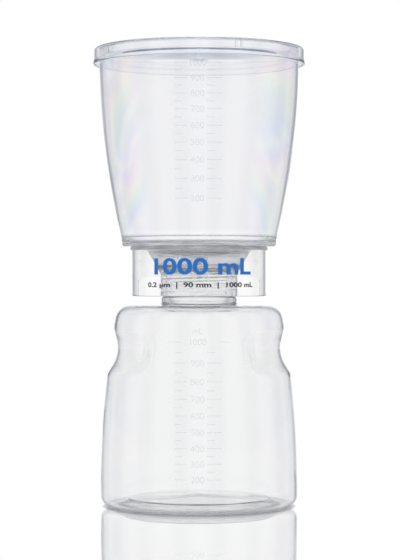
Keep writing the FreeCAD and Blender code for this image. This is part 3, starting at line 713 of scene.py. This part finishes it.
def grown(name, group, values):
    """Runs a geometry node group once and keeps its mesh."""
    piece = bpy.data.objects.new(name, bpy.data.meshes.new(name))
    scene.collection.objects.link(piece)
    modifier = piece.modifiers.new("grow", "NODES")
    modifier.node_group = group
    for item in group.interface.items_tree:
        if item.in_out == "INPUT" and item.name in values:
            modifier[item.identifier] = values[item.name]
    bpy.context.view_layer.update()
    shaped = piece.evaluated_get(bpy.context.evaluated_depsgraph_get())
    mesh = bpy.data.meshes.new_from_object(shaped)
    piece.modifiers.clear()
    piece.data = mesh
    return piece


lid_wall, recess_depth = 1.3, 5.6
lid_low, lid_high = box("lid")
rim_inside, rim_outside = lid_high.x - 1.9, lid_high.x - 0.6
channel_roof, flare_level = funnel_high.z + 0.05, lid_low.z + 3.2
recess_level, plug_radius = lid_high.z - recess_depth, funnel_high.x - 2.7
recess_radius, plug_foot = plug_radius - lid_wall, recess_level - lid_wall
gate_radius, gate_tip = 6.3, plug_foot - 1.2
lid = turned("lid_shell", rounded([
    (0, gate_tip, 0), (1.0, gate_tip, 0.2), (gate_radius, plug_foot, 0.5), (plug_radius, plug_foot, 1.6),
    (plug_radius, channel_roof, 0.4), (rim_inside, channel_roof, 0.6), (rim_inside, flare_level, 2.0),
    (rim_inside + 0.6, lid_low.z, 0.2), (lid_high.x, lid_low.z, 0.5), (rim_outside, flare_level, 2.0),
    (rim_outside, lid_high.z, 2.0), (recess_radius, lid_high.z, 0.6), (recess_radius, recess_level, 0.9),
    (0, recess_level, 0)], closed=False))

group = bpy.data.node_groups.new("rib_pairs", "GeometryNodeTree")
group.interface.new_socket("Geometry", in_out="OUTPUT", socket_type="NodeSocketGeometry")
rib_inputs = {"Pairs": "Int", "Radius": "Float", "Level": "Float", "Spacing": "Float", "First Angle": "Float",
              "Size": "Vector"}
for label, kind in rib_inputs.items():
    group.interface.new_socket(label, in_out="INPUT", socket_type="NodeSocket" + kind)
given, result = group.nodes.new("NodeGroupInput").outputs, group.nodes.new("NodeGroupOutput")
circle = {"Vertices": given["Pairs"], "Radius": given["Radius"]}
ring = add_node(group, "GeometryNodeMeshCircle", circle)
spin = add_node(group, "CombineXYZ", {"Z": given["First Angle"]})
raised = add_node(group, "CombineXYZ", {"Z": given["Level"]})
ring_place = {"Geometry": ring, "Translation": raised, "Rotation": spin}
posed = add_node(group, "GeometryNodeTransform", ring_place)
rib = add_node(group, "GeometryNodeMeshCube", {"Size": given["Size"]})
pair = add_node(group, "GeometryNodeJoinGeometry")
for half in (-0.5, 0.5):
    shift = add_node(group, "Math", [given["Spacing"], half], operation="MULTIPLY")
    across = add_node(group, "CombineXYZ", {"Y": shift})
    moved = add_node(group, "GeometryNodeTransform", {"Geometry": rib, "Translation": across})
    connect(group, pair, {"Geometry": moved})
number = add_node(group, "GeometryNodeInputIndex")
whole = add_node(group, "Math", [math.tau, given["Pairs"]], operation="DIVIDE")
part = add_node(group, "Math", [number, whole], operation="MULTIPLY")
facing = add_node(group, "Math", [part, given["First Angle"]], operation="ADD")
turn = add_node(group, "CombineXYZ", {"Z": facing})
copying = {"Points": posed, "Instance": pair, "Rotation": turn}
copies = add_node(group, "GeometryNodeInstanceOnPoints", copying)
solid = add_node(group, "GeometryNodeRealizeInstances", {"Geometry": copies})
coated = add_node(group, "GeometryNodeSetMaterial", {"Geometry": solid, "Material": styrene})
connect(group, result, [coated])
ribs = grown("lid_ribs", group, {
    "Pairs": 4, "Radius": (plug_radius + 0.1) * MM, "Level": (funnel_high.z - 2.0) * MM, "Spacing": 3.4 * MM,
    "First Angle": math.radians(23), "Size": (1.4 * MM, 1.0 * MM, 4.0 * MM)})
combine(lid, ribs, "UNION")
# The same styrene, a little bluer, which shows where the eye looks along the rim.
lid_styrene = clear_plastic(
    "lid_styrene", index=1.59, waviness=0.05, density=12.0, depth_tint=(0.12, 0.3, 0.6, 1))
dress(lid, lid_styrene, "filter_top", "clear_styrene", "lid")

# ---------------------------------------------------------------------------------------------------
# Hose connector and cotton plug. The connector is a small barbed polypropylene tube pushed into the
# vacuum port, and the plug behind it is packed cotton that filters the air.
# ---------------------------------------------------------------------------------------------------

tube_bore, barb_root, barb_crest, barb_length, barb_count = 1.9, 3.2, 4.2, 4.2, 3
stub_length, stub_radius, flange_width, flange = 10.0, barb_root - 0.05, 6.2, 1.6
connector_outline = [
    (tube_bore, -stub_length, 0.2), (stub_radius, -stub_length, 0.4), (stub_radius, 0, 0),
    (flange_width, 0, 0.3), (flange_width, flange, 0.3), (barb_root, flange, 0.4)]
for number in range(barb_count):
    start = flange + barb_length * number
    connector_outline += [
        (barb_root, start + 0.8, 0.1), (barb_crest, start + 0.8, 0.15), (barb_root, start + barb_length, 0.1)]
connector_outline.append((tube_bore, flange + barb_count * barb_length, 0.2))
connector = turned("connector_tube", rounded(connector_outline), 96)
connector.data.transform(Matrix.Translation((0, 0, port_face * MM)))
laid_along_y(connector, port_level)
# Polypropylene: white and a little waxy, with clouds in its colour and the fine grain of a spark-eroded
# mould on its surface.
polypropylene = mottled(
    "moulded_polypropylene", 0.5, ("#E6E8E9", "#F4F5F4"), (0.36, 0.5), rise=0.015, detail=3.0, cloud=9.0,
    inputs={"Transmission Weight": 0.6, "IOR": 1.49})
dress(connector, polypropylene, "filter_top", "white_polypropylene", "hose_connector")

# Cotton: fluffy and off-white, with crossing fibres that are drawn as coarse as tufts, so that they show.
finish_node("port_plug", mottled(
    "packed_cotton", 0.6, ("#DEDAD0", "#F6F3EC"), (0.95, 0.95), rise=0.12, stretch=(1, 0.25, 1), detail=6.0,
    inputs={"Sheen Weight": 0.4}))

# ---------------------------------------------------------------------------------------------------
# Graduations and print. The scales on bottle and funnel stand proud of the wall by a tenth of a
# millimetre, from engraving in the moulds. The capacity is pad-printed on the front of the skirt.
# ---------------------------------------------------------------------------------------------------

# A capital's share of the letter size, and the steps for bending strokes and for filling vessels.
CAPITAL_SHARE, BEND_STEP, SLICE = 0.7, 1.5, 0.2


def lettering(words, height, thickness, centre, level, bold=0.0, stretch=1.0):
    """Flat words as a bmesh in millimetres, centred across and on a level, standing in the XZ plane."""
    curve = bpy.data.curves.new("words", "FONT")
    curve.body = words
    curve.size = height / CAPITAL_SHARE
    curve.offset = bold
    curve.extrude = thickness / 2
    curve.resolution_u = 4
    curve.align_x = "CENTER"
    holder = bpy.data.objects.new("words", curve)
    scene.collection.objects.link(holder)
    bpy.context.view_layer.update()
    mesh = bpy.data.meshes.new_from_object(holder)
    bpy.data.objects.remove(holder)
    drawn = bmesh.new()
    drawn.from_mesh(mesh)
    for vertex in drawn.verts:
        x, y, z = vertex.co
        vertex.co = (centre + x * stretch, -(z + thickness / 2), level - height / 2 + y)
    return drawn


def bars(drawn, boxes, thickness):
    """Adds flat bars, each (left, right, low, high), to the drawing."""
    for left, right, low, high in boxes:
        size = Vector((right - left, thickness, high - low))
        middle = Vector(((left + right) / 2, -thickness / 2, (low + high) / 2))
        place = Matrix.Translation(middle) @ Matrix.Diagonal(size.to_4d())
        bmesh.ops.create_cube(drawn, size=1, matrix=place)


def wrapped(name, drawings, radius_at, lift):
    """Bends flat drawings round the front of a turned piece, whose radius is given for each level."""
    whole = bmesh.new()
    for drawn in drawings:
        mesh = bpy.data.meshes.new("drawing")
        drawn.to_mesh(mesh)
        drawn.free()
        whole.from_mesh(mesh)
        bpy.data.meshes.remove(mesh)
    # Long strokes are cut into short steps first, so that they follow the wall.
    span = max(abs(vertex.co.x) for vertex in whole.verts)
    at = -math.floor(span / BEND_STEP) * BEND_STEP
    while at < span:
        everything = whole.verts[:] + whole.edges[:] + whole.faces[:]
        bmesh.ops.bisect_plane(whole, geom=everything, plane_co=(at, 0, 0), plane_no=(1, 0, 0), dist=1e-5)
        at += BEND_STEP
    for vertex in whole.verts:
        x, y, z = vertex.co
        radius = radius_at(z)
        angle = x / radius
        out = (radius + lift - y) * MM
        vertex.co = (out * math.sin(angle), -out * math.cos(angle), z * MM)
    mesh = bpy.data.meshes.new(name)
    whole.to_mesh(mesh)
    whole.free()
    piece = bpy.data.objects.new(name, mesh)
    scene.collection.objects.link(piece)
    return piece


def between(points, level):
    """Radius of an outline's side at this level."""
    for (first, low), (second, high) in zip(points, points[1:]):
        if low <= level <= high:
            return first + (second - first) * (level - low) / (high - low)
    return points[0][0] if level < points[0][1] else points[-1][0]


def fill_levels(area_at, foot, top, shift=0.0):
    """The levels in millimetres at which a vessel holds each 50 millilitres from 200 to 1000. The
    vessel is filled in thin slices, and shift moves all the marks up or down together."""
    found, held, level = {}, 0.0, foot
    while level < top:
        middle = level + SLICE / 2
        before, held = held, held + area_at(middle) * SLICE / 1000
        found.update({volume: middle + shift for volume in range(200, 1001, 50) if before < volume <= held})
        level += SLICE
    return found


def bottle_area(level):
    """Inside area of the bottle at a level, with its grips and push-up taken off."""
    foot_bend = [(foot_inner, BOTTLE_WALL), (belly_radius - 3, 2.5), (belly_radius - BOTTLE_WALL, 7)]
    radius = between(foot_bend + inner_side, level)
    parts = 60
    angles = [math.pi * (step + 0.5) / parts for step in range(parts)]
    whole = sum(gripped(angle, radius, level, BOTTLE_WALL) ** 2 for angle in angles) / parts * math.pi
    dome = between([corner[:2] for corner in inside_foot[2:]], level) if level < inside_foot[-1][1] else 0
    return whole - math.pi * dome * dome


RAISED, TICK_HALF, NUMERAL_CENTRE = 0.12, 0.2, -0.9
short_ticks, label_ticks = ((-14.4, -10.0), (4.6, 9.5)), ((-14.4, -7.0), (4.6, 13.7))
wide_ticks = ((-19.4, -9.7), (11.5, 18.8))


def scale(name, levels, side_points, unit_rise, top_ticks):
    """A raised scale up the front: a pair of ticks at each level, a numeral between every second pair, and
    the unit above the top one."""
    top = max(volume for volume in levels if volume % 100 == 0)
    ticks = bmesh.new()
    drawings = [ticks]
    for volume, level in levels.items():
        pair = short_ticks
        if volume % 100 == 0:
            pair = top_ticks if volume == top else label_ticks
            drawings.append(lettering(str(volume), 3.8, RAISED, NUMERAL_CENTRE, level))
        bars(ticks, [(*ends, level - TICK_HALF, level + TICK_HALF) for ends in pair], RAISED)
    drawings.append(lettering("mL", 3.4, RAISED, NUMERAL_CENTRE, levels[top] + unit_rise))
    return wrapped(name, drawings, lambda level: between(side_points, level), 0.015)


# Raised marks: clear plastic with an etched face, drawn coarse so that it shows. They bend light much less
# than the wall they stand on, and so they are only faint grey strokes.
frosted = mottled(
    "frosted_relief", 0.4, ("#E4E7EC", "#F6F7F9"), (0.25, 0.45),
    inputs={"Transmission Weight": 1.0, "IOR": 1.035})

bottle_levels = fill_levels(bottle_area, BOTTLE_WALL, shoulder_level, shift=-1.2)
bottle_scale = scale("bottle_scale", bottle_levels, side, 6.5, wide_ticks)
dress(bottle_scale, frosted, "bottle_body", "clear_bottle")

funnel_levels = fill_levels(lambda level: math.pi * between(inside, level) ** 2, clamp_level - 3.1, plug_foot)
funnel_scale = scale("funnel_scale", funnel_levels, outside, 6.0, label_ticks)
dress(funnel_scale, frosted, "filter_top", "clear_styrene")

# Pad-printing ink: thin and satin, a little uneven where the pad left it.
blue_ink = mottled("blue_print", 0.8, ("#0668BE", "#0C73CC"), (0.35, 0.5))
dark_ink = mottled("dark_print", 0.8, ("#1E2228", "#2C3037"), (0.35, 0.5))
print_centre, print_thickness, print_lift = 1.2, 0.04, 0.02
capacity_level, note_level = skirt_foot + 18.2, skirt_foot + 7.1
large = lettering("1000 mL", 9.4, print_thickness, print_centre, capacity_level, bold=0.35, stretch=1.42)
capacity = wrapped("capacity_print", [large], lambda level: skirt_radius, print_lift)
dress(capacity, blue_ink, "filter_top", "clear_styrene")
small = lettering(
    "0.2 µm  |  90 mm  |  1000 mL", 2.8, print_thickness, print_centre, note_level, bold=0.12, stretch=1.5)
note = wrapped("membrane_print", [small], lambda level: skirt_radius, print_lift)
dress(note, dark_ink, "filter_top", "clear_styrene")
